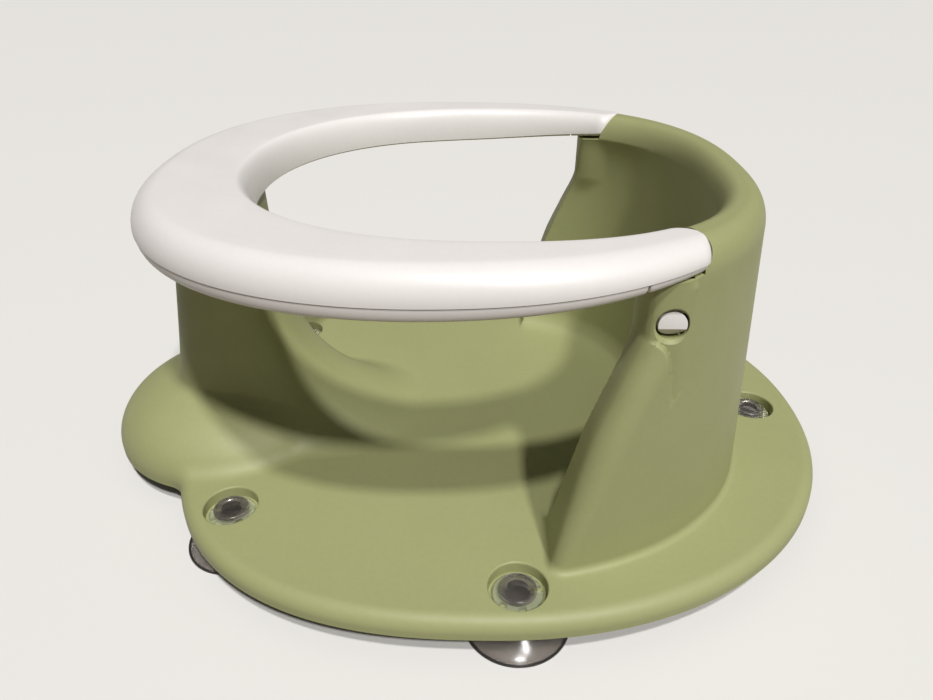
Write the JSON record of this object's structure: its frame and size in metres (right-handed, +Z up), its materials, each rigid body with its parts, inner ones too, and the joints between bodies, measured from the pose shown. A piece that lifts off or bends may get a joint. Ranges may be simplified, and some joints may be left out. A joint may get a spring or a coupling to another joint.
{
  "type": "baby bath seat",
  "caption": "Baby bath seat: moulded shell with backrest, front pillar and leg openings, a lift-off safety ring latched into two posts, on suction cups.",
  "frame": {"origin": "middle of the seat's length and width, on the floor under the suction cups", "axes": "+Z up, -Y towards the front lobe and pillar, +Y towards the backrest, +X to the seated child's left"},
  "size_m": [0.3052, 0.38, 0.162],
  "materials": {
    "shell": "satin moulded polypropylene, sage green",
    "ring": "satin moulded plastic, warm white",
    "cups": "soft clear vinyl, smoky grey where thick",
    "collars": "clear plastic",
    "screws": "plain steel"
  },
  "bodies": {
    "seat": {"body_shell": "shell", "suction_cup_front_right": "cups", "suction_cup_front_left": "cups", "suction_cup_side_right": "cups", "suction_cup_side_left": "cups", "suction_cup_rear": "cups", "cup_collar_front_right": "collars", "cup_collar_front_left": "collars", "cup_collar_side_right": "collars", "cup_collar_side_left": "collars", "cup_collar_rear": "collars"},
    "ring": {"ring_top_cover": "ring", "ring_bottom_cover": "ring", "ring_leg_right": "ring", "ring_leg_left": "ring", "ring_screw_1_right": "screws", "ring_screw_1_left": "screws", "ring_screw_2_right": "screws", "ring_screw_2_left": "screws", "ring_screw_3_right": "screws", "ring_screw_3_left": "screws", "leg_screw_right": "screws", "leg_screw_left": "screws"},
    "button_right": {"latch_button_right": "ring"},
    "button_left": {"latch_button_left": "ring"}
  },
  "joints": [
    {"name": "ring_lift", "type": "slide", "parent": "seat", "child": "ring", "axis": [0, 0, 1], "range_m": [0, 0.168]},
    {"name": "button_press_right", "type": "hinge", "parent": "ring", "child": "button_right", "pos_m": [0.0974, 0.0803, 0.1103], "axis": [0, -1, 0], "range_deg": [0, 5.5], "stiffness_Nm_per_rad": 1.5},
    {"name": "button_press_left", "type": "hinge", "parent": "ring", "child": "button_left", "pos_m": [-0.0974, 0.0803, 0.1103], "axis": [0, 1, 0], "range_deg": [0, 5.5], "stiffness_Nm_per_rad": 1.5}
  ]
}
